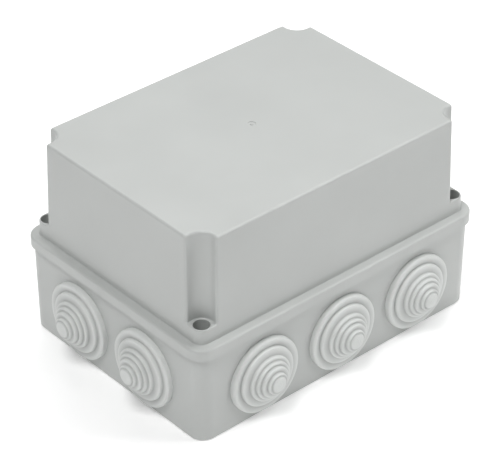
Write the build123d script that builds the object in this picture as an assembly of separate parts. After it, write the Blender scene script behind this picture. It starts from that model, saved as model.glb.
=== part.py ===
from build123d import *
from math import radians, tan
import os

# Surface-mounted electrical junction box with a deep lid, ten stepped membrane glands and four lid
# screws sunk in corner wells. Millimetres, +Z up. The origin is the middle of the base's back face,
# the one that lies on the wall. +X runs along the long side, and the front is the long side at -Y.

# ---- driving dimensions ----------------------------------------------------------------------
LENGTH = 190.0            # over the lid's skirt, along X
WIDTH = 140.0             # over the lid's skirt, along Y
HEIGHT = 116.0            # back face to the top of the lid

# lid skirt: the band that laps over the base
SKIRT_LOW = 51.2
SKIRT_TOP = 57.4
SKIRT_EDGE = 1.3          # rounding of its upper outer edge
SKIRT_PLATE = 1.6         # material over the gasket
SKIRT_CREASE = 0.6        # rounding where the dome rises from the skirt

# lid dome
WALL = 2.5
LID_INSET = 4.8           # ledge between the skirt's face and the dome's wall
LID_DRAFT = 1.1           # each side leans in this much from the skirt to the top
LID_TOP_PLATE = 2.8
LID_EDGE = 1.5            # rounding round the top
LIP_LOW = 51.6            # underside of the inner lip and of the screw tubes

# lid screws and their wells
SCREW_INSET = 10.1        # screw axis from the skirt's faces
WELL_FLOOR = 66.0
WELL_INSET = 2.7          # well centre from the corner of the lid's top
WELL_TOP_RADIUS = 8.0
WELL_LOW_RADIUS = 7.2
WELL_EDGE = 1.3           # rounding of the well's two upright edges
WELL_FLOOR_EDGE = 0.7     # and of its floor, along the outside
TUBE_BORE = 4.25
TUBE_EDGE = 0.3           # rounding of the bore's mouth
SHELF = 2.6               # plate at the foot of the tube that the screw clamps
SHELF_HOLE = 2.3
HEAD_RADIUS = 3.85
HEAD_HEIGHT = 2.8
HEAD_EDGE = 0.9
SHANK_RADIUS = 1.9
SHANK_LENGTH = 21.0
SHANK_POINT = 0.9         # chamfer at the shank's end
RECESS_LENGTH = 4.2
RECESS_WIDTH = 0.9
RECESS_DEPTH = 1.5
WASHER_RADIUS = 4.0
WASHER_HOLE = 2.05
WASHER_THICK = 1.0
PILOT_RADIUS = 1.97
PILOT_DEPTH = 20.0

# base tray
BASE_OVERHANG = 1.8       # how far the skirt stands out past the base's wall
BASE_DRAFT_ANGLE = 0.5    # degrees; the base narrows towards its back face
BASE_FLOOR = 3.0
BASE_EDGE = 1.2
RIM_TOP = 54.0            # the rim that presses on the gasket
PILLAR_RADIUS = 6.2
PILLAR_TOP = 51.5

# wall-fixing holes, their caps, and posts for a terminal rail or plate
FIXING_X = 150.0
FIXING_Y = 96.0
FIXING_HOLE = 2.5
FIXING_BOSS = 7.2
FIXING_BOSS_TOP = 7.0
FIXING_SEAT = 4.0
CAP_RADIUS = 5.1
CAP_THICK = 2.0
CAP_WALL = 1.6            # ring left round the finger dimple
CAP_DIMPLE = 0.6
POST_X = 110.0
POST_Y = 60.0
POST_RADIUS = 4.5
POST_TOP = 11.0
POST_HOLE = 1.6
POST_HOLE_DEPTH = 7.0

# membrane glands: radius and height of the foot of each ring, above the disc's face
GLAND_Z = 24.6
GLAND_PITCH_LONG = 52.6   # between neighbours on the long sides
GLAND_PITCH_SHORT = 51.5
GLAND_DISC = 21.3
GLAND_DISC_THICK = 3.4
GLAND_EDGE = 0.9
GLAND_NECK = 17.4
GLAND_HOLE = 17.5
GLAND_LIP = 18.6
GLAND_LIP_THICK = 1.6
GLAND_BORE = 15.3
GLAND_RISER = 1.15        # height of each ring's step
GLAND_RISER_LEAN = 0.3
GLAND_RINGS = [(16.9, -0.9), (12.8, 1.5), (10.7, 3.4), (8.7, 5.1), (6.1, 6.9), (4.6, 8.6)]
GLAND_TIP = 9.6
GLAND_TIP_LEAN = 1.2
GLAND_TIP_STEP = 0.4
GLAND_SKIN = 1.6

GATE_RADIUS = 2.2
GATE_PIP_RADIUS = 0.9
GATE_DEPTH = 0.25
CLEAR = 0.3               # between the base's rim and the lid's groove

# ---- worked-out places -----------------------------------------------------------------------
# every rounded corner of the skirt, the dome and the base is centred on its screw's axis
HALF_X = LENGTH / 2
HALF_Y = WIDTH / 2
SCREW_X = HALF_X - SCREW_INSET
SCREW_Y = HALF_Y - SCREW_INSET
SKIRT_RADIUS = SCREW_INSET
LID_RADIUS = SCREW_INSET - LID_INSET
BASE_RADIUS = SCREW_INSET - BASE_OVERHANG
TUBE_RADIUS = LID_RADIUS
WALL_X = HALF_X - LID_INSET
WALL_Y = HALF_Y - LID_INSET
WELL_X = WALL_X - LID_DRAFT - WELL_INSET
WELL_Y = WALL_Y - LID_DRAFT - WELL_INSET
SHELF_TOP = LIP_LOW + SHELF
HEAD_SEAT = SHELF_TOP + WASHER_THICK
GASKET_TOP = SKIRT_TOP - SKIRT_PLATE

CORNERS = {
    "front_left": (-1, -1),
    "front_right": (1, -1),
    "rear_left": (-1, 1),
    "rear_right": (1, 1),
}


def box_between(low, high):
    """Solid between two rounded rectangles, each given as (half_x, half_y, radius, z)."""
    sections = []
    for half_x, half_y, radius, z in (low, high):
        sections.append(Pos(0, 0, z) * RectangleRounded(2 * half_x, 2 * half_y, radius))
    return loft(sections, ruled=True)


def frame_between(outer, inner, z_low, z_high):
    """Upright rounded-rectangle ring; outer and inner are (half_x, half_y, radius)."""
    ring = Pos(0, 0, z_low) * RectangleRounded(2 * outer[0], 2 * outer[1], outer[2])
    ring -= Pos(0, 0, z_low) * RectangleRounded(2 * inner[0], 2 * inner[1], inner[2])
    return extrude(ring, z_high - z_low, dir=(0, 0, 1))


def upright(radius, x, y, z_low, z_high):
    """Round bar along Z between two heights."""
    return Pos(x, y, (z_low + z_high) / 2) * Cylinder(radius, z_high - z_low)


def base_outline(z, inset=0.0):
    """The base's outline at height z, taken in by inset."""
    lean = (z - SKIRT_LOW) * tan(radians(BASE_DRAFT_ANGLE))
    side_x = HALF_X - BASE_OVERHANG + lean - inset
    side_y = HALF_Y - BASE_OVERHANG + lean - inset
    return side_x, side_y, BASE_RADIUS - inset, z


def lid_outline(z, inset=0.0):
    """The dome's outline at height z, taken in by inset."""
    lean = LID_DRAFT * (z - SKIRT_TOP) / (HEIGHT - SKIRT_TOP)
    side_x = HALF_X - LID_INSET - lean - inset
    side_y = HALF_Y - LID_INSET - lean - inset
    return side_x, side_y, LID_RADIUS - inset, z


# ---- membrane glands -------------------------------------------------------------------------
def gland_planes():
    """Plane of each gland on the base's leaning walls, its normal pointing out of the box."""
    side_x, side_y, _, _ = base_outline(GLAND_Z)
    down = -tan(radians(BASE_DRAFT_ANGLE))
    planes = {}
    for name, side in (("front", -1), ("rear", 1)):
        for number in range(3):
            place = ((number - 1) * GLAND_PITCH_LONG, side * side_y, GLAND_Z)
            planes[f"gland_{name}_{number + 1}"] = Plane(place, (1, 0, 0), (0, side, down))
    for name, side in (("left", -1), ("right", 1)):
        for number in range(2):
            place = (side * side_x, (number - 0.5) * GLAND_PITCH_SHORT, GLAND_Z)
            planes[f"gland_{name}_{number + 1}"] = Plane(place, (0, 1, 0), (side, 0, down))
    return planes


def make_gland():
    """Rubber gland along +Z: disc and stepped cone outside, neck through the wall, lip inside."""
    face = GLAND_DISC_THICK
    outside = [
        (0, face + GLAND_TIP),
        (GLAND_RINGS[-1][0] - GLAND_TIP_LEAN, face + GLAND_TIP),
    ]
    for radius, rise in reversed(GLAND_RINGS):
        crest = min(rise + GLAND_RISER, GLAND_TIP - GLAND_TIP_STEP)
        outside.append((radius - GLAND_RISER_LEAN, face + crest))
        outside.append((radius, face + rise))
    outside += [
        (GLAND_DISC - GLAND_EDGE, face),
        (GLAND_DISC, face - GLAND_EDGE),
        (GLAND_DISC, 0),
        (GLAND_NECK, 0),
        (GLAND_NECK, -WALL),
        (GLAND_LIP, -WALL),
        (GLAND_LIP, -WALL - GLAND_LIP_THICK),
        (GLAND_BORE, -WALL - GLAND_LIP_THICK),
    ]
    first, second, last = GLAND_RINGS[0], GLAND_RINGS[1], GLAND_RINGS[-1]
    slope = (second[1] - first[1]) / (first[0] - second[0])
    inside = [
        (GLAND_BORE, face + first[1] + slope * (first[0] - GLAND_BORE) - GLAND_SKIN),
        (second[0], face + second[1] - GLAND_SKIN),
        (last[0], face + last[1] - GLAND_SKIN),
        (last[0] - GLAND_TIP_LEAN, face + GLAND_TIP - GLAND_SKIN - GLAND_TIP_STEP),
        (0, face + GLAND_TIP - GLAND_SKIN),
    ]
    outline = Polyline([(r, 0, z) for r, z in outside + inside], close=True)
    return revolve(make_face(outline), Axis.Z)


# ---- base ------------------------------------------------------------------------------------
def make_base():
    """Open tray with corner pillars, rim, gland holes, wall-fixing holes and plate posts."""
    tray = box_between(base_outline(0), base_outline(RIM_TOP))
    tray = fillet(tray.edges().group_by(Axis.Z)[0], BASE_EDGE)
    tray -= box_between(base_outline(BASE_FLOOR, WALL), base_outline(RIM_TOP + 1, WALL))
    for side_x, side_y in CORNERS.values():
        x, y = side_x * SCREW_X, side_y * SCREW_Y
        tray += upright(PILLAR_RADIUS, x, y, BASE_FLOOR - 1, PILLAR_TOP)
        tray -= upright(PILOT_RADIUS, x, y, PILLAR_TOP - PILOT_DEPTH, PILLAR_TOP + 1)
        x, y = side_x * FIXING_X / 2, side_y * FIXING_Y / 2
        tray += upright(FIXING_BOSS, x, y, BASE_FLOOR - 1, FIXING_BOSS_TOP)
        tray -= upright(CAP_RADIUS, x, y, FIXING_SEAT, FIXING_BOSS_TOP + 1)
        tray -= upright(FIXING_HOLE, x, y, -1, FIXING_BOSS_TOP)
        x, y = side_x * POST_X / 2, side_y * POST_Y / 2
        tray += upright(POST_RADIUS, x, y, BASE_FLOOR - 1, POST_TOP)
        tray -= upright(POST_HOLE, x, y, POST_TOP - POST_HOLE_DEPTH, POST_TOP + 1)
    for plane in gland_planes().values():
        tray -= plane * Cylinder(GLAND_HOLE, 4 * WALL)
    return tray


def make_fixing_cap(side_x, side_y):
    """Sealing cap pressed into a fixing hole's seat, with a finger dimple."""
    x, y = side_x * FIXING_X / 2, side_y * FIXING_Y / 2
    cap = upright(CAP_RADIUS, x, y, FIXING_BOSS_TOP - CAP_THICK, FIXING_BOSS_TOP)
    dimple_floor = FIXING_BOSS_TOP - CAP_DIMPLE
    return cap - upright(CAP_RADIUS - CAP_WALL, x, y, dimple_floor, FIXING_BOSS_TOP + 1)


# ---- lid -------------------------------------------------------------------------------------
def level_edges(shape, z):
    """Edges of a shape that lie flat at height z."""
    level = []
    for edge in shape.edges():
        box = edge.bounding_box()
        if abs(box.min.Z - z) < 0.001 and abs(box.max.Z - z) < 0.001:
            level.append(edge)
    return level


def make_lid_outside():
    """The lid's outer form: skirt and dome, with the four screw wells cut out of its corners."""
    skirt = extrude(Pos(0, 0, SKIRT_LOW) * RectangleRounded(LENGTH, WIDTH, SKIRT_RADIUS),
                    SKIRT_TOP - SKIRT_LOW, dir=(0, 0, 1))
    skirt = fillet(skirt.edges().group_by(Axis.Z)[-1], SKIRT_EDGE)
    dome = box_between(lid_outline(SKIRT_TOP - 1), lid_outline(HEIGHT))
    well_height = HEIGHT - WELL_FLOOR
    for side_x, side_y in CORNERS.values():
        well = Cone(WELL_LOW_RADIUS, WELL_TOP_RADIUS, well_height)
        dome -= Pos(side_x * WELL_X, side_y * WELL_Y, WELL_FLOOR + well_height / 2) * well
    upright_edges = [e for e in dome.edges() if e.bounding_box().size.Z > 0.9 * well_height]
    well_edges = [e for e in upright_edges if e.bounding_box().min.Z > WELL_FLOOR - 0.1]
    dome = fillet(well_edges, WELL_EDGE)
    dome = fillet(dome.edges().group_by(Axis.Z)[-1], LID_EDGE)
    rims = [e for e in level_edges(dome, WELL_FLOOR) if e.geom_type != GeomType.CIRCLE]
    outside = skirt + fillet(rims, WELL_FLOOR_EDGE)
    creases = []
    for edge in level_edges(outside, SKIRT_TOP):
        middle = edge @ 0.5
        if abs(middle.X) < WALL_X + SKIRT_EDGE and abs(middle.Y) < WALL_Y + SKIRT_EDGE:
            creases.append(edge)
    return fillet(creases, SKIRT_CREASE)


def make_lid():
    """Lid shell: hollow dome with screw tubes, inner lip and a groove for the gasket."""
    hollow = box_between(lid_outline(LIP_LOW - 1, WALL), lid_outline(HEIGHT - LID_TOP_PLATE, WALL))
    well_height = HEIGHT - WELL_FLOOR + WALL
    for side_x, side_y in CORNERS.values():
        tube = upright(TUBE_RADIUS, side_x * SCREW_X, side_y * SCREW_Y, 0, WELL_FLOOR)
        well = Cone(WELL_LOW_RADIUS + WALL, WELL_TOP_RADIUS + WALL, well_height)
        place = Pos(side_x * WELL_X, side_y * WELL_Y, WELL_FLOOR - WALL + well_height / 2)
        hollow -= tube
        hollow -= place * well
    lid = make_lid_outside() - hollow
    rim_x, rim_y, rim_radius, _ = base_outline(RIM_TOP)
    groove = (rim_x + CLEAR, rim_y + CLEAR, rim_radius + CLEAR)
    lip_x, lip_y, lip_radius, _ = lid_outline(SKIRT_TOP)
    lid -= frame_between(groove, (lip_x, lip_y, lip_radius), SKIRT_LOW - 1, GASKET_TOP)
    under = Pos(0, 0, SKIRT_LOW - 1) * RectangleRounded(2 * groove[0], 2 * groove[1], groove[2])
    lid -= extrude(under, LIP_LOW - SKIRT_LOW + 1, dir=(0, 0, 1))
    for side_x, side_y in CORNERS.values():
        x, y = side_x * SCREW_X, side_y * SCREW_Y
        lid -= upright(TUBE_BORE, x, y, SHELF_TOP, WELL_FLOOR + 1)
        lid -= upright(SHELF_HOLE, x, y, SKIRT_LOW, SHELF_TOP + 1)
    mouths = [e for e in level_edges(lid, WELL_FLOOR) if e.geom_type == GeomType.CIRCLE]
    lid = fillet([e for e in mouths if e.radius < LID_RADIUS], TUBE_EDGE)
    gate = upright(GATE_RADIUS, 0, 0, HEIGHT - GATE_DEPTH, HEIGHT + 1)
    return lid - (gate - upright(GATE_PIP_RADIUS, 0, 0, HEIGHT - 1, HEIGHT))


def make_gasket():
    """Foam seal lying in the lid's groove and resting on the base's rim."""
    rim_x, rim_y, rim_radius, _ = base_outline(RIM_TOP)
    lip_x, lip_y, lip_radius, _ = lid_outline(SKIRT_TOP)
    outer = (rim_x + CLEAR / 3, rim_y + CLEAR / 3, rim_radius + CLEAR / 3)
    inner = (lip_x + CLEAR / 2, lip_y + CLEAR / 2, lip_radius + CLEAR / 2)
    return frame_between(outer, inner, RIM_TOP, GASKET_TOP)


# ---- screws ----------------------------------------------------------------------------------
def make_screw(side_x, side_y):
    """Pan-head lid screw with a cross recess; its thread is left as a plain shank."""
    x, y = side_x * SCREW_X, side_y * SCREW_Y
    head = upright(HEAD_RADIUS, x, y, HEAD_SEAT, HEAD_SEAT + HEAD_HEIGHT)
    head = fillet(head.edges().group_by(Axis.Z)[-1], HEAD_EDGE)
    tip = HEAD_SEAT - SHANK_LENGTH
    shank = upright(SHANK_RADIUS, x, y, tip, HEAD_SEAT + 0.5)
    screw = head + chamfer(shank.edges().group_by(Axis.Z)[0], SHANK_POINT)
    slot = Box(RECESS_LENGTH, RECESS_WIDTH, 2 * RECESS_DEPTH)
    cross = slot + Rot(0, 0, 90) * slot
    return screw - Pos(x, y, HEAD_SEAT + HEAD_HEIGHT) * cross


def make_washer(side_x, side_y):
    """Sealing washer under a screw's head."""
    x, y = side_x * SCREW_X, side_y * SCREW_Y
    washer = upright(WASHER_RADIUS, x, y, SHELF_TOP, HEAD_SEAT)
    return washer - upright(WASHER_HOLE, x, y, SHELF_TOP - 1, HEAD_SEAT + 1)


# ---- assembly --------------------------------------------------------------------------------
def main():
    nodes = {"base": make_base(), "lid": make_lid(), "lid_gasket": make_gasket()}
    gland = make_gland()
    for name, plane in gland_planes().items():
        nodes[name] = plane * gland
    for name, (side_x, side_y) in CORNERS.items():
        nodes[f"lid_screw_{name}"] = make_screw(side_x, side_y)
        nodes[f"screw_washer_{name}"] = make_washer(side_x, side_y)
        nodes[f"fixing_cap_{name}"] = make_fixing_cap(side_x, side_y)
    os.makedirs("parts", exist_ok=True)
    for name, shape in nodes.items():
        shape.label = name
        export_step(shape, f"parts/{name}.step")


main()
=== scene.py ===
"""Looks of a surface-mounted electrical junction box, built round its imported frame.

Run as a script inside Blender. Every piece keeps its object at the origin, with its place in
its mesh.
"""

import math

import bmesh
import bpy
from bpy.props import FloatProperty, FloatVectorProperty, IntProperty, PointerProperty
from mathutils import Matrix, Vector


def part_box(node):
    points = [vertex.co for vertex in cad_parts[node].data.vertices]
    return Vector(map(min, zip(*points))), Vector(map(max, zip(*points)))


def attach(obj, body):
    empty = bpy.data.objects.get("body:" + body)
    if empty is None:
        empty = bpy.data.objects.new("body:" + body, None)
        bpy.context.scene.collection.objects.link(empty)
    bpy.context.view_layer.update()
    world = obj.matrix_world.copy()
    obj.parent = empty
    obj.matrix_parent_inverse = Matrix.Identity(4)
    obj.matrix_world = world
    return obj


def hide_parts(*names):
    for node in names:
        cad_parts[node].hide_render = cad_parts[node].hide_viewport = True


bl_info = {
    "name": "Electrical Junction Box",
    "version": (1, 0, 0),
    "blender": (4, 5, 0),
    "location": "3D View > Sidebar > Junction Box",
    "description": "Builds a junction box's glands, screws, seals, caps and moulded finishes "
                   "round its frame",
    "category": "Object",
}

MM = 0.001
UP = Vector((0, 0, 1))
MERGE_DISTANCE = 1e-7
SHARP = math.radians(60)        # square corners
CREASE = math.radians(25)       # corners of a gland's steps as well
SMOOTH_BELOW = math.radians(35)
NOISE_SPAN = (0.3, 0.7)         # where most of a noise texture's values lie
SMALL_FACETS = 64               # round screws' heads, washers and caps
CORNERS = ("front_left", "front_right", "rear_left", "rear_right")
GLANDS = (
    "gland_front_1", "gland_front_2", "gland_front_3", "gland_rear_1", "gland_rear_2",
    "gland_rear_3", "gland_left_1", "gland_left_2", "gland_right_1", "gland_right_2",
)
OUTWARD = {
    "front": Vector((0, -1, 0)),
    "rear": Vector((0, 1, 0)),
    "left": Vector((-1, 0, 0)),
    "right": Vector((1, 0, 0)),
}

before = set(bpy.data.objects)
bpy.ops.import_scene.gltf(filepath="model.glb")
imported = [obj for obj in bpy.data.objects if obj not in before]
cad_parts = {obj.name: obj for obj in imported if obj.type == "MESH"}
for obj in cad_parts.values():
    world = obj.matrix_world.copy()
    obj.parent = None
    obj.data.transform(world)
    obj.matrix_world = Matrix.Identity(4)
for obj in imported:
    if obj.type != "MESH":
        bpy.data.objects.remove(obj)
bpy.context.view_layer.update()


# ---- settings --------------------------------------------------------------------------------
class MouldedShell(bpy.types.PropertyGroup):
    """Finish of the box's base and lid."""

    colour: FloatVectorProperty(
        name="Colour", description="Grey of the moulded plastic",
        subtype="COLOR", min=0, max=1, default=(0.505, 0.520, 0.508))
    roughness: FloatProperty(
        name="Roughness", description="How satin the plastic is",
        subtype="FACTOR", min=0, max=1, default=0.33)
    mottle: FloatProperty(
        name="Mottle", description="Share by which the grey drifts where the plastic flowed",
        subtype="FACTOR", min=0, max=0.2, default=0.025)
    mottle_size: FloatProperty(
        name="Mottle Size", description="Width of one cloud of the drift",
        subtype="DISTANCE", unit="LENGTH", default=55 * MM)
    grain_size: FloatProperty(
        name="Grain Size", description="Width of the mould's spark-eroded grain",
        subtype="DISTANCE", unit="LENGTH", default=0.45 * MM)
    grain_depth: FloatProperty(
        name="Grain Depth", description="Depth of the grain",
        subtype="DISTANCE", unit="LENGTH", default=0.006 * MM)


class MembraneGland(bpy.types.PropertyGroup):
    """Form and finish of the stepped membrane glands."""

    colour: FloatVectorProperty(
        name="Colour", description="Grey of the soft rubber",
        subtype="COLOR", min=0, max=1, default=(0.680, 0.697, 0.683))
    roughness: FloatProperty(
        name="Roughness", description="How satin the rubber is",
        subtype="FACTOR", min=0, max=1, default=0.5)
    height: FloatProperty(
        name="Height", description="From the wall to the tip",
        subtype="DISTANCE", unit="LENGTH", default=13.0 * MM)
    disc_thickness: FloatProperty(
        name="Disc Thickness", description="Thickness of the flange that lies on the wall",
        subtype="DISTANCE", unit="LENGTH", default=3.4 * MM)
    wall_thickness: FloatProperty(
        name="Wall Thickness", description="Wall that the neck goes through",
        subtype="DISTANCE", unit="LENGTH", default=2.5 * MM)
    wall_lean: FloatProperty(
        name="Wall Lean", description="How far the base's walls lean in towards its back",
        subtype="ANGLE", unit="ROTATION", default=math.radians(0.5))
    disc_radius: FloatProperty(
        name="Disc Radius", description="Outer radius of the flange that lies on the wall",
        subtype="DISTANCE", unit="LENGTH", default=21.3 * MM)
    neck_radius: FloatProperty(
        name="Neck Radius", description="Outer radius where the gland goes through the wall",
        subtype="DISTANCE", unit="LENGTH", default=17.4 * MM)
    bore_radius: FloatProperty(
        name="Bore Radius", description="Inner radius of the neck",
        subtype="DISTANCE", unit="LENGTH", default=15.3 * MM)
    lip_radius: FloatProperty(
        name="Lip Radius", description="Outer radius of the lip that grips the wall from inside",
        subtype="DISTANCE", unit="LENGTH", default=18.6 * MM)
    lip: FloatProperty(
        name="Lip Thickness", description="Thickness of the lip",
        subtype="DISTANCE", unit="LENGTH", default=1.6 * MM)
    skin: FloatProperty(
        name="Skin", description="Thickness of the stepped membrane",
        subtype="DISTANCE", unit="LENGTH", default=1.6 * MM)
    riser: FloatProperty(
        name="Riser", description="Height of each step's riser",
        subtype="DISTANCE", unit="LENGTH", default=1.9 * MM)
    tip_radius: FloatProperty(
        name="Tip Radius", description="Radius of the rough patch at the tip",
        subtype="DISTANCE", unit="LENGTH", default=4.0 * MM)
    # Groove width and groove shade set the painted shade: the rubber's colour is darker near each
    # step's foot.
    groove_width: FloatProperty(
        name="Groove Width", description="Reach of the shade on each side of a step's foot",
        subtype="DISTANCE", unit="LENGTH", default=1.1 * MM)
    groove_shade: FloatProperty(
        name="Groove Shade", description="Share by which the rubber is darker at a step's foot",
        subtype="FACTOR", min=0, max=1, default=0.32)
    crest: FloatProperty(
        name="Crest Rounding", description="Rounding of each step's raised edge",
        subtype="DISTANCE", unit="LENGTH", default=0.6 * MM)
    rim: FloatProperty(
        name="Rim Rounding", description="Rounding of the disc's outer edge",
        subtype="DISTANCE", unit="LENGTH", default=1.5 * MM)
    steps_round: IntProperty(
        name="Steps Round", description="Facets round the gland", min=24, max=192, default=96)


class LidScrew(bpy.types.PropertyGroup):
    """Form and finish of the lid screws."""

    colour: FloatVectorProperty(
        name="Colour", description="Zinc plating",
        subtype="COLOR", min=0, max=1, default=(0.62, 0.62, 0.60))
    roughness: FloatProperty(
        name="Roughness", description="How dull the plating is",
        subtype="FACTOR", min=0, max=1, default=0.32)
    head_height: FloatProperty(
        name="Head Height", description="From the washer to the top of the head",
        subtype="DISTANCE", unit="LENGTH", default=2.8 * MM)
    head_edge: FloatProperty(
        name="Head Edge", description="Rounding of the pan head",
        subtype="DISTANCE", unit="LENGTH", default=0.9 * MM)
    crest_radius: FloatProperty(
        name="Crest Radius", description="Outer radius of the thread",
        subtype="DISTANCE", unit="LENGTH", default=1.88 * MM)
    root_radius: FloatProperty(
        name="Root Radius", description="Inner radius of the thread",
        subtype="DISTANCE", unit="LENGTH", default=1.42 * MM)
    collar_radius: FloatProperty(
        name="Collar Radius", description="Radius of the plain shank under the head",
        subtype="DISTANCE", unit="LENGTH", default=1.67 * MM)
    collar_length: FloatProperty(
        name="Collar Length", description="Length of the plain shank under the head",
        subtype="DISTANCE", unit="LENGTH", default=2.0 * MM)
    point: FloatProperty(
        name="Point", description="Length of the blunt point",
        subtype="DISTANCE", unit="LENGTH", default=0.9 * MM)
    pitch: FloatProperty(
        name="Pitch", description="Rise of the thread in one turn",
        subtype="DISTANCE", unit="LENGTH", default=1.5 * MM)
    turns: IntProperty(name="Turns", description="Turns of thread", min=1, max=30, default=11)
    recess_length: FloatProperty(
        name="Recess Length", description="Length of each arm of the cross recess, end to end",
        subtype="DISTANCE", unit="LENGTH", default=4.2 * MM)
    recess_width: FloatProperty(
        name="Recess Width", description="Width of the cross recess's arms",
        subtype="DISTANCE", unit="LENGTH", default=0.9 * MM)
    recess_depth: FloatProperty(
        name="Recess Depth", description="Depth of the cross recess",
        subtype="DISTANCE", unit="LENGTH", default=1.5 * MM)


class SealsAndCaps(bpy.types.PropertyGroup):
    """Form and finish of the gasket, the screw washers and the fixing caps."""

    foam_colour: FloatVectorProperty(
        name="Foam Colour", description="Closed-cell foam of the gasket",
        subtype="COLOR", min=0, max=1, default=(0.055, 0.055, 0.055))
    washer_colour: FloatVectorProperty(
        name="Washer Colour", description="Rubber of the screw washers",
        subtype="COLOR", min=0, max=1, default=(0.045, 0.045, 0.045))
    cap_colour: FloatVectorProperty(
        name="Cap Colour", description="Plastic of the fixing caps",
        subtype="COLOR", min=0, max=1, default=(0.45, 0.46, 0.45))
    washer_bore: FloatProperty(
        name="Washer Bore", description="Radius of the hole in a washer",
        subtype="DISTANCE", unit="LENGTH", default=2.05 * MM)
    cap_wall: FloatProperty(
        name="Cap Wall", description="Ring left round a cap's finger dimple",
        subtype="DISTANCE", unit="LENGTH", default=1.6 * MM)
    cap_dimple: FloatProperty(
        name="Cap Dimple", description="Depth of a cap's finger dimple",
        subtype="DISTANCE", unit="LENGTH", default=0.6 * MM)
    gasket_width: FloatProperty(
        name="Gasket Width", description="Width of the gasket's strip",
        subtype="DISTANCE", unit="LENGTH", default=3.05 * MM)
    gasket_radius: FloatProperty(
        name="Gasket Corner", description="Outer radius of the gasket's corners",
        subtype="DISTANCE", unit="LENGTH", default=8.4 * MM)


class StudioStage(bpy.types.PropertyGroup):
    """Floor, lights and camera."""

    azimuth: FloatProperty(
        name="Azimuth", description="Direction of the camera, from the front towards the right",
        subtype="ANGLE", unit="ROTATION", default=math.radians(-41.37))
    elevation: FloatProperty(
        name="Elevation", description="Height of the camera as an angle",
        subtype="ANGLE", unit="ROTATION", default=math.radians(34.54))
    distance: FloatProperty(
        name="Distance", description="From the aim to the camera",
        subtype="DISTANCE", unit="LENGTH", default=1215.2 * MM)
    aim: FloatVectorProperty(
        name="Aim", description="Point that the camera looks at",
        subtype="XYZ", unit="LENGTH", default=(-0.00244, -0.00140, 0.05614))
    lens: FloatProperty(
        name="Lens", description="Focal length in millimetres on a 36 mm sensor",
        min=1, default=169.72)
    floor_size: FloatProperty(
        name="Floor Size", description="Side of the floor",
        subtype="DISTANCE", unit="LENGTH", default=8.0)
    floor_gap: FloatProperty(
        name="Floor Gap",
        description="Hair's breadth left between the floor and the box's flat back",
        subtype="DISTANCE", unit="LENGTH", default=0.03 * MM)
    floor_glow: FloatProperty(
        name="Floor Glow", description="Light that comes up through the translucent floor",
        min=0, default=0.225)
    tent_side: FloatProperty(
        name="Tent Side", description="Strength of the white tent at floor level",
        min=0, default=0.23)
    tent_top: FloatProperty(
        name="Tent Top", description="Strength of the white tent overhead",
        min=0, default=0.01)
    softbox_size: FloatProperty(
        name="Softbox Size", description="Side of each square softbox",
        subtype="DISTANCE", unit="LENGTH", default=1.0)
    right_place: FloatVectorProperty(
        name="Right Place", description="Centre of the softbox above the right end",
        subtype="XYZ", unit="LENGTH", default=(1.15, -0.32, 2.1))
    right_power: FloatProperty(
        name="Right Power", description="Power of the softbox above the right end",
        subtype="POWER", unit="POWER", default=16.0)
    left_place: FloatVectorProperty(
        name="Left Place", description="Centre of the softbox above the left end",
        subtype="XYZ", unit="LENGTH", default=(-1.0, -0.3, 2.3))
    left_power: FloatProperty(
        name="Left Power", description="Power of the softbox above the left end",
        subtype="POWER", unit="POWER", default=35.2)
    rear_place: FloatVectorProperty(
        name="Rear Place", description="Centre of the softbox above the rear",
        subtype="XYZ", unit="LENGTH", default=(0.6, 1.0, 2.1))
    rear_power: FloatProperty(
        name="Rear Power", description="Power of the softbox above the rear",
        subtype="POWER", unit="POWER", default=17.0)
    edge_size: FloatProperty(
        name="Edge Lamp Size",
        description="Side of the small softbox that glints on the front's top edge",
        subtype="DISTANCE", unit="LENGTH", default=0.45)
    edge_place: FloatVectorProperty(
        name="Edge Lamp Place", description="Centre of the small softbox",
        subtype="XYZ", unit="LENGTH", default=(1.25, -1.3, 1.42))
    edge_power: FloatProperty(
        name="Edge Lamp Power", description="Power of the small softbox",
        subtype="POWER", unit="POWER", default=10.0)


# ---- meshes ----------------------------------------------------------------------------------
def turn_outline(shape, outline, steps, closed=False):
    """Turns an outline of (radius, height) points once round Z."""
    verts = [shape.verts.new((radius, 0, height)) for radius, height in outline]
    ends = verts[1:] + verts[:1] if closed else verts[1:]
    edges = [shape.edges.new(pair) for pair in zip(verts, ends)]
    bmesh.ops.spin(
        shape, geom=verts + edges, cent=(0, 0, 0), axis=(0, 0, 1), angle=math.tau,
        steps=steps, use_merge=True, use_duplicate=False)
    bmesh.ops.remove_doubles(shape, verts=shape.verts, dist=MERGE_DISTANCE)
    bmesh.ops.recalc_face_normals(shape, faces=shape.faces)


def round_edges(shape, edges, offset, segments):
    """Rounds some of a shape's edges."""
    bmesh.ops.bevel(
        shape, geom=edges, offset=offset, segments=segments, profile=0.5, affect="EDGES",
        material=-1, clamp_overlap=True)


def sharp_edges(shape, angle, convex=None):
    """Edges whose faces meet at more than an angle; only the raised or the sunk ones if asked."""
    found = []
    for edge in shape.edges:
        if edge.is_manifold and edge.calc_face_angle(0) > angle:
            if convex is None or edge.is_convex == convex:
                found.append(edge)
    return found


def finish_piece(shape, name, finish, body, slot, *nodes):
    """Makes a shape into a piece that stands for CAD nodes and rides on their body."""
    mesh = bpy.data.meshes.new(name)
    shape.to_mesh(mesh)
    shape.free()
    mesh.shade_smooth()
    mesh.set_sharp_from_angle(angle=SMOOTH_BELOW)
    mesh.materials.append(finish)
    piece = bpy.data.objects.new(name, mesh)
    bpy.context.scene.collection.objects.link(piece)
    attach(piece, body)
    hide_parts(*nodes)


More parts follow.
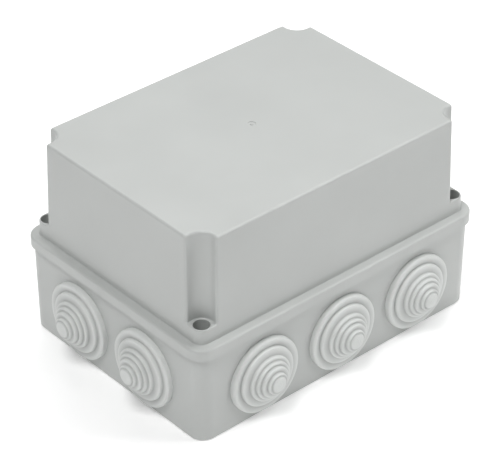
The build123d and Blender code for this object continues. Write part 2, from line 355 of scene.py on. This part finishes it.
# ---- finishes --------------------------------------------------------------------------------
class Finish:
    """A node material with one Principled shader, read on Object coordinates."""

    def __init__(self, name, colour, roughness, metallic=0.0, specular=0.5):
        self.material = bpy.data.materials.new(name)
        self.material.use_nodes = True
        self.nodes = self.material.node_tree.nodes
        self.links = self.material.node_tree.links
        self.shader = self.nodes["Principled BSDF"]
        self.shader.inputs["Base Color"].default_value = (*colour, 1)
        self.shader.inputs["Roughness"].default_value = roughness
        self.shader.inputs["Metallic"].default_value = metallic
        self.shader.inputs["Specular IOR Level"].default_value = specular
        self.place = self.nodes.new("ShaderNodeTexCoord").outputs["Object"]
        self.colour = colour
        self.roughness = roughness
        self.normal = None

    def noise(self, size, detail=2.0, rough=0.5, stretch=None):
        """Noise whose blobs are about one size across."""
        place = self.place
        if stretch:
            mapping = self.nodes.new("ShaderNodeMapping")
            mapping.inputs["Scale"].default_value = stretch
            self.links.new(place, mapping.inputs["Vector"])
            place = mapping.outputs["Vector"]
        node = self.nodes.new("ShaderNodeTexNoise")
        node.inputs["Scale"].default_value = 1 / size
        node.inputs["Detail"].default_value = detail
        node.inputs["Roughness"].default_value = rough
        self.links.new(place, node.inputs["Vector"])
        return node.outputs["Fac"]

    def remap(self, value, low, high):
        """A noise value stretched from its usual span to another range."""
        node = self.nodes.new("ShaderNodeMapRange")
        node.inputs["From Min"].default_value, node.inputs["From Max"].default_value = NOISE_SPAN
        node.inputs["To Min"].default_value = low
        node.inputs["To Max"].default_value = high
        self.links.new(value, node.inputs["Value"])
        return node.outputs["Result"]

    def multiply(self, first, second):
        """Product of two values."""
        node = self.nodes.new("ShaderNodeMath")
        node.operation = "MULTIPLY"
        self.links.new(first, node.inputs[0])
        self.links.new(second, node.inputs[1])
        return node.outputs["Value"]

    def tint(self, factor, dark, light):
        """Base colour that runs between two shares of the finish's own colour."""
        node = self.nodes.new("ShaderNodeMix")
        node.data_type = "RGBA"
        sockets = [s for s in node.inputs if s.type == "RGBA"]
        sockets[0].default_value = (*[c * dark for c in self.colour], 1)
        sockets[1].default_value = (*[c * light for c in self.colour], 1)
        self.links.new(factor, node.inputs["Factor"])
        result = [s for s in node.outputs if s.type == "RGBA"][0]
        self.links.new(result, self.shader.inputs["Base Color"])

    def vary_roughness(self, value, spread):
        """Roughness that runs a little to both sides of the finish's own."""
        low, high = self.roughness - spread, self.roughness + spread
        self.links.new(self.remap(value, low, high), self.shader.inputs["Roughness"])

    def bump(self, value, depth, strength=1.0):
        """Relief of a true depth, added to any earlier relief."""
        node = self.nodes.new("ShaderNodeBump")
        node.inputs["Distance"].default_value = depth
        node.inputs["Strength"].default_value = strength
        self.links.new(value, node.inputs["Height"])
        if self.normal:
            self.links.new(self.normal, node.inputs["Normal"])
        self.normal = node.outputs["Normal"]
        self.links.new(self.normal, self.shader.inputs["Normal"])


def moulded_plastic(name, colour, roughness, shell):
    """Satin moulded plastic: flow clouds, slight waviness and a spark-eroded grain."""
    finish = Finish(name, colour, roughness, specular=0.42)
    clouds = finish.noise(shell.mottle_size, detail=3)
    finish.tint(finish.remap(clouds, 0, 1), 1 - shell.mottle, 1 + shell.mottle)
    finish.vary_roughness(finish.noise(shell.mottle_size / 3, detail=4), 0.05)
    finish.bump(finish.noise(9 * MM, detail=1), 0.02 * MM, 0.35)
    finish.bump(finish.noise(shell.grain_size, detail=3, rough=0.6), shell.grain_depth)
    return finish.material


def soft_rubber(gland):
    """Moulded rubber with painted shade in its grooves, and rough at its snipped tip."""
    finish = Finish("gland_soft_rubber", gland.colour, gland.roughness, specular=0.4)
    clouds = finish.noise(14 * MM, detail=3)
    raised = finish.nodes.new("ShaderNodeAttribute")
    raised.attribute_name = "raised"
    # Painted shade: the colour is made darker near each step's foot, times a random cloudy tone.
    cloud_tone_and_painted_shade = finish.multiply(finish.remap(clouds, 0.85, 1), raised.outputs["Fac"])
    finish.tint(cloud_tone_and_painted_shade, 1 - gland.groove_shade, 1.02)
    finish.vary_roughness(finish.noise(5 * MM, detail=4), 0.06)
    finish.bump(finish.noise(0.5 * MM, detail=2), 0.008 * MM)
    tip = finish.nodes.new("ShaderNodeAttribute")
    tip.attribute_name = "tip"
    pits = finish.multiply(finish.noise(0.9 * MM, detail=3, rough=0.65), tip.outputs["Fac"])
    finish.bump(pits, 0.55 * MM)
    return finish.material


def zinc_plate(screw):
    """Bright zinc with faint turning marks and passivation clouds."""
    finish = Finish("screw_zinc_plate", screw.colour, screw.roughness, metallic=1.0)
    clouds = finish.noise(2.2 * MM, detail=4)
    finish.tint(finish.remap(clouds, 0, 1), 0.86, 1.06)
    finish.vary_roughness(finish.noise(0.8 * MM, detail=3), 0.08)
    finish.bump(finish.noise(0.12 * MM, detail=2, stretch=(1, 1, 6)), 0.006 * MM)
    return finish.material


def closed_cell_foam(seals):
    """Black gasket foam with fine open pores on its skin."""
    finish = Finish("gasket_closed_cell_foam", seals.foam_colour, 0.9, specular=0.25)
    pores = finish.noise(0.35 * MM, detail=3, rough=0.7)
    finish.tint(finish.remap(pores, 0, 1), 0.6, 1.5)
    finish.vary_roughness(finish.noise(2 * MM, detail=2), 0.06)
    finish.bump(pores, 0.12 * MM)
    return finish.material


def washer_rubber(seals):
    """Black rubber with a dusty bloom."""
    finish = Finish("washer_black_rubber", seals.washer_colour, 0.62, specular=0.4)
    bloom = finish.noise(1.6 * MM, detail=4)
    finish.tint(finish.remap(bloom, 0, 1), 0.8, 1.5)
    finish.vary_roughness(bloom, 0.1)
    finish.bump(finish.noise(0.2 * MM, detail=2), 0.01 * MM)
    return finish.material


# ---- shell -----------------------------------------------------------------------------------
class JUNCTIONBOX_OT_finish_shell(bpy.types.Operator):
    """Gives the base and the lid their moulded plastic."""

    bl_idname = "junction_box.finish_shell"
    bl_label = "Finish Shell"

    def execute(self, context):
        shell = context.scene.moulded_shell
        plastic = moulded_plastic("box_satin_plastic", shell.colour, shell.roughness, shell)
        for name in ("base", "lid"):
            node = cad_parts[name]
            node.data.materials.clear()
            node.data.materials.append(plastic)
        return {"FINISHED"}


# ---- glands ----------------------------------------------------------------------------------
# Foot of each step in millimetres: its radius, and its height above the disc's face.
STEP_FEET = ((16.9, -0.9), (12.8, 1.5), (10.7, 3.4), (8.7, 5.1), (6.1, 6.9), (4.6, 8.6))
STEP_LEAN = 0.3 * MM            # how far a step's riser leans in
NUB_MARGIN = 1.2 * MM           # from the last step's foot in to the edge of the flat tip
NUB_DROP = 0.1 * MM             # how far the tip's edge lies under its middle
LAST_CREST_DROP = 0.15 * MM     # how far the last step's crest lies under the tip
INNER_NUB_DROP = 0.3 * MM
STEP_FOOT_ROUNDING = 0.08 * MM
CREST_REACH = 17 * MM           # radius inside which the steps lie
FIRST_TURN, TURN_STEP = 118, 9  # degrees that set neighbouring glands' facets apart


def gland_outline(gland):
    """(radius, height) points of a gland, from its tip down the outside and back up inside."""
    face, skin = gland.disc_thickness, gland.skin
    feet = [(radius * MM, face + height * MM) for radius, height in STEP_FEET]
    nub = feet[-1][0] - NUB_MARGIN
    outline = [(0, gland.height), (nub, gland.height - NUB_DROP)]
    for radius, height in reversed(feet):
        crest = min(height + gland.riser, gland.height - LAST_CREST_DROP)
        outline += [(radius - STEP_LEAN, crest), (radius, height)]
    disc, neck = gland.disc_radius, gland.neck_radius
    lip, bore = gland.lip_radius, gland.bore_radius
    inside = -gland.wall_thickness
    outline += [(disc, face), (disc, 0), (neck, 0), (neck, inside)]
    outline += [(lip, inside), (lip, inside - gland.lip), (bore, inside - gland.lip)]
    slope = (feet[1][1] - feet[0][1]) / (feet[0][0] - feet[1][0])
    shoulder = feet[0][1] + slope * (feet[0][0] - bore) - skin
    outline += [(bore, shoulder), (feet[1][0], feet[1][1] - skin)]
    outline += [(feet[-1][0], feet[-1][1] - skin), (nub, gland.height - skin - INNER_NUB_DROP)]
    outline.append((0, gland.height - skin))
    return outline


def gland_place(name, gland):
    """Matrix that sets a gland, made along +Z, on its wall with its own up kept upwards."""
    low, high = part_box(name)
    level = OUTWARD[name.split("_")[1]]
    middle = (low + high) / 2
    reach = (high - low) / 2
    outermost = middle + Vector(level[i] * reach[i] for i in range(3))
    out = (level - UP * math.tan(gland.wall_lean)).normalized()
    seat = outermost - level * gland.height
    across = UP.cross(level)
    rise = out.cross(across)
    turn = Matrix((across, rise, out)).transposed().to_4x4()
    return Matrix.Translation(seat) @ turn


class JUNCTIONBOX_OT_make_glands(bpy.types.Operator):
    """Turns the ten stepped membrane glands and sets them in the base's walls."""

    bl_idname = "junction_box.make_glands"
    bl_label = "Make Glands"

    def execute(self, context):
        gland = context.scene.membrane_gland
        rubber = soft_rubber(gland)
        for number, name in enumerate(GLANDS):
            shape = bmesh.new()
            turn_outline(shape, gland_outline(gland), gland.steps_round)
            rims = [e for e in sharp_edges(shape, SHARP, convex=True)
                    if e.verts[0].co.xy.length > gland.neck_radius + MM and e.verts[0].co.z > MM]
            round_edges(shape, rims, gland.rim, 4)
            crests = [e for e in sharp_edges(shape, CREASE, convex=True)
                      if min(v.co.xy.length for v in e.verts) < CREST_REACH
                      and e.verts[0].co.z > gland.disc_thickness - 0.5 * MM]
            round_edges(shape, crests, gland.crest, 4)
            feet = [e for e in sharp_edges(shape, CREASE, convex=False)
                    if e.verts[0].co.z > gland.disc_thickness - 1.2 * MM]
            round_edges(shape, feet, STEP_FOOT_ROUNDING, 2)
            tip = shape.verts.layers.float.new("tip")
            # raised is 0 at each step's foot and 1 a groove width away; the rubber paints shade
            # where it is low.
            raised = shape.verts.layers.float.new("raised")
            for vert in shape.verts:
                vert[tip] = max(0.0, 1 - vert.co.xy.length / gland.tip_radius)
                spot = Vector((vert.co.xy.length, vert.co.z - gland.disc_thickness))
                nearest = min((spot - Vector(foot) * MM).length for foot in STEP_FEET)
                vert[raised] = min(1.0, nearest / gland.groove_width)
            angle = math.radians(FIRST_TURN + TURN_STEP * (number % 3))
            turn = Matrix.Rotation(angle, 4, "Z")
            bmesh.ops.transform(shape, matrix=gland_place(name, gland) @ turn, verts=shape.verts)
            finish_piece(shape, name + "_rubber", rubber, "base_body", "gland_rubber", name)
        return {"FINISHED"}


# ---- screws ----------------------------------------------------------------------------------
HEAD_FOOT_ROUNDING = 0.12 * MM
RECESS_TAPER = 0.72             # share of its size that the cross recess keeps at its floor
CORE_FACETS = 48
RIDGE_STEPS = 24                # sections of the thread in one turn
OVERLAP = 0.3 * MM              # how far the shank reaches up into the head
COLLAR_CHAMFER = 0.4 * MM
POINT_CHAMFER = 0.6 * MM
RIDGE_START = 0.5 * MM          # from the point's end to the thread's first edge
RIDGE_SUNK = 0.05 * MM          # how far the thread's foot lies inside the core
RIDGE_CREST = (0.8, 1.0, 1.8)   # crest's two edges and lower flank's end, in half pitches
LEAST_FADE = 0.05               # share of the thread's height left at its run-outs


def carve(piece, cutter):
    """Cuts one object's shape out of another and drops the cutter.

    use_self is off, so a cutter that crosses itself leaves an empty mesh.
    """
    cut = piece.modifiers.new("carve", "BOOLEAN")
    cut.operation = "DIFFERENCE"
    cut.solver = "EXACT"
    cut.object = cutter
    evaluated = piece.evaluated_get(bpy.context.evaluated_depsgraph_get())
    carved = bpy.data.meshes.new_from_object(evaluated)
    piece.modifiers.clear()
    piece.data = carved
    bpy.data.objects.remove(cutter)


def screw_head(screw, radius):
    """Meant as a pan head with a tapered cross recess on Z = 0, but it comes out empty.

    The cutter's two arms overlap, which carve() doesn't allow for, so the screws have no heads.
    """
    head = bmesh.new()
    outline = [(0, 0), (radius, 0), (radius, screw.head_height), (0, screw.head_height)]
    turn_outline(head, outline, SMALL_FACETS)
    top = [e for e in sharp_edges(head, SHARP) if e.verts[0].co.z > MM]
    round_edges(head, top, screw.head_edge, 6)
    foot = [e for e in sharp_edges(head, SHARP) if e.verts[0].co.z < MM]
    round_edges(head, foot, HEAD_FOOT_ROUNDING, 2)
    blank = bpy.data.objects.new("head_blank", bpy.data.meshes.new("head_blank"))
    head.to_mesh(blank.data)
    head.free()
    arms = bmesh.new()
    for quarter in (0, 90):
        size = (screw.recess_length, screw.recess_width, 2 * screw.recess_depth, 1)
        place = (Matrix.Translation((0, 0, screw.head_height))
                 @ Matrix.Rotation(math.radians(quarter), 4, "Z") @ Matrix.Diagonal(size))
        made = bmesh.ops.create_cube(arms, size=1, matrix=place)
        bottom = [v for v in made["verts"] if v.co.z < screw.head_height]
        bmesh.ops.scale(arms, vec=(RECESS_TAPER, RECESS_TAPER, 1), verts=bottom)
    cutter = bpy.data.objects.new("recess_cutter", bpy.data.meshes.new("recess_cutter"))
    arms.to_mesh(cutter.data)
    arms.free()
    for item in (blank, cutter):
        bpy.context.scene.collection.objects.link(item)
    carve(blank, cutter)
    shape = bmesh.new()
    shape.from_mesh(blank.data)
    bpy.data.objects.remove(blank)
    return shape


def add_thread(shape, screw, length):
    """Adds the core, its blunt point and a helical thread below Z = 0."""
    core = bmesh.new()
    root, collar = screw.root_radius, screw.collar_radius
    outline = [
        (0, OVERLAP), (collar, OVERLAP), (collar, COLLAR_CHAMFER - screw.collar_length),
        (root, -screw.collar_length), (root, screw.point - length),
        (root - POINT_CHAMFER, -length), (0, -length)]
    turn_outline(core, outline, CORE_FACETS)
    half, start = screw.pitch / 2, RIDGE_START - length
    crest_start, crest_end, flank_end = (start + share * half for share in RIDGE_CREST)
    ridge = [
        (root - RIDGE_SUNK, start), (screw.crest_radius, crest_start),
        (screw.crest_radius, crest_end), (root - RIDGE_SUNK, flank_end)]
    verts = [core.verts.new((radius, 0, height)) for radius, height in ridge]
    face = core.faces.new(verts)
    bmesh.ops.spin(
        core, geom=[face] + list(face.edges) + verts, cent=(0, 0, 0), axis=(0, 0, 1),
        dvec=(0, 0, screw.pitch / RIDGE_STEPS), angle=math.tau * screw.turns,
        steps=RIDGE_STEPS * screw.turns, use_duplicate=False)
    bmesh.ops.remove_doubles(core, verts=core.verts, dist=MERGE_DISTANCE)
    bmesh.ops.recalc_face_normals(core, faces=core.faces)
    finish_height = start + screw.pitch * screw.turns
    for vert in core.verts:
        reach = vert.co.xy.length
        if reach > collar and vert.co.z < -screw.collar_length:
            fade = min(1, (vert.co.z - start) / MM, (finish_height + half - vert.co.z) / MM)
            vert.co.xy *= (root + (reach - root) * max(LEAST_FADE, fade)) / reach
    mesh = bpy.data.meshes.new("core")
    core.to_mesh(mesh)
    core.free()
    shape.from_mesh(mesh)
    bpy.data.meshes.remove(mesh)


class JUNCTIONBOX_OT_make_screws(bpy.types.Operator):
    """Makes the four lid screws' cores and threads; their heads come out empty, see screw_head."""

    bl_idname = "junction_box.make_screws"
    bl_label = "Make Lid Screws"

    def execute(self, context):
        screw = context.scene.lid_screw
        zinc = zinc_plate(screw)
        for number, corner in enumerate(CORNERS):
            node = "lid_screw_" + corner
            low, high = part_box(node)
            seat = high.z - screw.head_height
            shape = screw_head(screw, (high.x - low.x) / 2)
            add_thread(shape, screw, seat - low.z)
            middle = Vector(((low.x + high.x) / 2, (low.y + high.y) / 2, seat))
            turn = Matrix.Rotation(math.radians(17 + 31 * number), 4, "Z")
            bmesh.ops.transform(shape, matrix=Matrix.Translation(middle) @ turn, verts=shape.verts)
            finish_piece(shape, node + "_zinc", zinc, "screw_" + corner, "screw_steel", node)
        return {"FINISHED"}


# ---- seals and caps --------------------------------------------------------------------------
WASHER_ROUNDING = 0.2 * MM
GASKET_ROUNDING = 0.35 * MM
CAP_ROUNDING = 0.25 * MM
CAP_ROUGHNESS = 0.4


class JUNCTIONBOX_OT_make_washers(bpy.types.Operator):
    """Makes the sealing washer under each screw's head."""

    bl_idname = "junction_box.make_washers"
    bl_label = "Make Screw Washers"

    def execute(self, context):
        seals = context.scene.seals_and_caps
        rubber = washer_rubber(seals)
        for corner in CORNERS:
            node = "screw_washer_" + corner
            low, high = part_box(node)
            radius, thickness = (high.x - low.x) / 2, high.z - low.z
            shape = bmesh.new()
            bore = seals.washer_bore
            outline = [(bore, 0), (radius, 0), (radius, thickness), (bore, thickness)]
            turn_outline(shape, outline, SMALL_FACETS, closed=True)
            round_edges(shape, sharp_edges(shape, SHARP), WASHER_ROUNDING, 3)
            middle = Vector(((low.x + high.x) / 2, (low.y + high.y) / 2, low.z))
            bmesh.ops.translate(shape, vec=middle, verts=shape.verts)
            finish_piece(shape, node + "_rubber", rubber, "washer_" + corner, "washer_rubber", node)
        return {"FINISHED"}


class JUNCTIONBOX_OT_make_gasket(bpy.types.Operator):
    """Makes the foam gasket that lies in the lid's groove."""

    bl_idname = "junction_box.make_gasket"
    bl_label = "Make Gasket"

    def execute(self, context):
        seals = context.scene.seals_and_caps
        low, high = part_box("lid_gasket")
        size = high - low
        shape = bmesh.new()
        bmesh.ops.create_grid(
            shape, x_segments=1, y_segments=1, size=0.5,
            matrix=Matrix.Diagonal((size.x, size.y, 1, 1)))
        bmesh.ops.bevel(
            shape, geom=list(shape.verts), offset=seals.gasket_radius, segments=12, profile=0.5,
            affect="VERTICES", material=-1)
        sheet = list(shape.faces)
        bmesh.ops.inset_region(
            shape, faces=sheet, thickness=seals.gasket_width, use_boundary=True,
            use_even_offset=True)
        bmesh.ops.delete(shape, geom=sheet, context="FACES")
        strip = bmesh.ops.extrude_face_region(shape, geom=list(shape.faces))
        raised = [item for item in strip["geom"] if isinstance(item, bmesh.types.BMVert)]
        bmesh.ops.translate(shape, vec=(0, 0, size.z), verts=raised)
        bmesh.ops.recalc_face_normals(shape, faces=shape.faces)
        round_edges(shape, sharp_edges(shape, SHARP), GASKET_ROUNDING, 3)
        middle = Vector(((low.x + high.x) / 2, (low.y + high.y) / 2, low.z))
        bmesh.ops.translate(shape, vec=middle, verts=shape.verts)
        foam = closed_cell_foam(seals)
        finish_piece(shape, "lid_gasket_foam", foam, "lid_body", "seal_foam", "lid_gasket")
        return {"FINISHED"}


class JUNCTIONBOX_OT_make_caps(bpy.types.Operator):
    """Makes the sealing caps over the wall-fixing holes."""

    bl_idname = "junction_box.make_caps"
    bl_label = "Make Fixing Caps"

    def execute(self, context):
        seals = context.scene.seals_and_caps
        shell = context.scene.moulded_shell
        plastic = moulded_plastic("cap_satin_plastic", seals.cap_colour, CAP_ROUGHNESS, shell)
        for corner in CORNERS:
            node = "fixing_cap_" + corner
            low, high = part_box(node)
            radius, height = (high.x - low.x) / 2, high.z - low.z
            ring, floor = radius - seals.cap_wall, height - seals.cap_dimple
            outline = [
                (0, 0), (radius, 0), (radius, height), (ring, height), (ring, floor), (0, floor)]
            shape = bmesh.new()
            turn_outline(shape, outline, SMALL_FACETS)
            round_edges(shape, sharp_edges(shape, SHARP, convex=True), CAP_ROUNDING, 3)
            middle = Vector(((low.x + high.x) / 2, (low.y + high.y) / 2, low.z))
            bmesh.ops.translate(shape, vec=middle, verts=shape.verts)
            finish_piece(shape, node + "_plastic", plastic, "base_body", "cap_plastic", node)
        return {"FINISHED"}


# ---- stage -----------------------------------------------------------------------------------
ACRYLIC_COLOUR = (0.93, 0.93, 0.93)
ACRYLIC_ROUGHNESS = 0.75
SENSOR_WIDTH = 36               # millimetres, as the lens is given for


def hang_softbox(name, place, aim, size, power):
    """Square area light that looks at a point."""
    lamp = bpy.data.lights.new(name, "AREA")
    lamp.shape = "SQUARE"
    lamp.size = size
    lamp.energy = power
    holder = bpy.data.objects.new(name, lamp)
    holder.location = place
    holder.rotation_euler = (Vector(aim) - Vector(place)).to_track_quat("-Z", "Y").to_euler()
    bpy.context.scene.collection.objects.link(holder)


class JUNCTIONBOX_OT_make_stage(bpy.types.Operator):
    """Lays the pale floor and sets the soft lights and the camera."""

    bl_idname = "junction_box.make_stage"
    bl_label = "Make Stage"

    def execute(self, context):
        stage = context.scene.studio_stage
        shape = bmesh.new()
        bmesh.ops.create_grid(
            shape, x_segments=1, y_segments=1, size=stage.floor_size / 2,
            matrix=Matrix.Translation((0, 0, -stage.floor_gap)))
        mesh = bpy.data.meshes.new("studio_floor")
        shape.to_mesh(mesh)
        shape.free()
        acrylic = Finish("floor_white_acrylic", ACRYLIC_COLOUR, ACRYLIC_ROUGHNESS, specular=0.2)
        acrylic.tint(acrylic.remap(acrylic.noise(0.4), 0, 1), 0.99, 1.0)
        acrylic.shader.inputs["Emission Color"].default_value = (1, 1, 1, 1)
        acrylic.shader.inputs["Emission Strength"].default_value = stage.floor_glow
        mesh.materials.append(acrylic.material)
        floor = bpy.data.objects.new("studio_floor", mesh)
        context.scene.collection.objects.link(floor)
        world = bpy.data.worlds.new("studio_tent")
        world.use_nodes = True
        tent = world.node_tree.nodes
        height = tent.new("ShaderNodeSeparateXYZ")
        fade = tent.new("ShaderNodeMapRange")
        fade.inputs["To Min"].default_value = stage.tent_side
        fade.inputs["To Max"].default_value = stage.tent_top
        tent["Background"].inputs["Color"].default_value = (1, 1, 1, 1)
        direction = tent.new("ShaderNodeTexCoord").outputs["Generated"]
        world.node_tree.links.new(direction, height.inputs["Vector"])
        world.node_tree.links.new(height.outputs["Z"], fade.inputs["Value"])
        world.node_tree.links.new(fade.outputs["Result"], tent["Background"].inputs["Strength"])
        context.scene.world = world
        aim = Vector(stage.aim)
        hang_softbox("right_softbox", stage.right_place, aim, stage.softbox_size, stage.right_power)
        hang_softbox("left_softbox", stage.left_place, aim, stage.softbox_size, stage.left_power)
        hang_softbox("rear_softbox", stage.rear_place, aim, stage.softbox_size, stage.rear_power)
        hang_softbox("edge_softbox", stage.edge_place, aim, stage.edge_size, stage.edge_power)
        level = math.cos(stage.elevation)
        back = Vector((math.sin(stage.azimuth) * level, -math.cos(stage.azimuth) * level,
                       math.sin(stage.elevation)))
        lens = bpy.data.cameras.new("camera")
        lens.sensor_width = SENSOR_WIDTH
        lens.lens = stage.lens
        lens.clip_start = 0.01
        camera = bpy.data.objects.new("camera", lens)
        camera.location = aim + back * stage.distance
        camera.rotation_euler = (-back).to_track_quat("-Z", "Y").to_euler()
        context.scene.collection.objects.link(camera)
        context.scene.camera = camera
        context.scene.view_settings.view_transform = "Standard"
        return {"FINISHED"}


# ---- panel and running -----------------------------------------------------------------------
class JUNCTIONBOX_PT_pieces(bpy.types.Panel):
    """Sidebar panel that lists the pieces and their settings."""

    bl_idname = "JUNCTIONBOX_PT_pieces"
    bl_label = "Junction Box"
    bl_space_type = "VIEW_3D"
    bl_region_type = "UI"
    bl_category = "Junction Box"

    def draw(self, context):
        for operator, settings in STAGES:
            part = self.layout.box()
            part.operator(operator.bl_idname)
            group = getattr(context.scene, settings)
            for key in type(group).__annotations__:
                part.prop(group, key)


SETTINGS = {
    "moulded_shell": MouldedShell,
    "membrane_gland": MembraneGland,
    "lid_screw": LidScrew,
    "seals_and_caps": SealsAndCaps,
    "studio_stage": StudioStage,
}
STAGES = (
    (JUNCTIONBOX_OT_finish_shell, "moulded_shell"),
    (JUNCTIONBOX_OT_make_glands, "membrane_gland"),
    (JUNCTIONBOX_OT_make_screws, "lid_screw"),
    (JUNCTIONBOX_OT_make_washers, "seals_and_caps"),
    (JUNCTIONBOX_OT_make_gasket, "seals_and_caps"),
    (JUNCTIONBOX_OT_make_caps, "seals_and_caps"),
    (JUNCTIONBOX_OT_make_stage, "studio_stage"),
)
CLASSES = [*SETTINGS.values(), *[operator for operator, _ in STAGES], JUNCTIONBOX_PT_pieces]


def register():
    for item in CLASSES:
        bpy.utils.register_class(item)
    for name, group in SETTINGS.items():
        setattr(bpy.types.Scene, name, PointerProperty(type=group))


def unregister():
    for name in SETTINGS:
        delattr(bpy.types.Scene, name)
    for item in reversed(CLASSES):
        bpy.utils.unregister_class(item)


def main():
    """Builds every piece in order."""
    register()
    bpy.ops.junction_box.finish_shell()
    bpy.ops.junction_box.make_glands()
    bpy.ops.junction_box.make_screws()
    bpy.ops.junction_box.make_washers()
    bpy.ops.junction_box.make_gasket()
    bpy.ops.junction_box.make_caps()
    bpy.ops.junction_box.make_stage()
    bpy.context.view_layer.update()


if __name__ == "__main__":
    main()
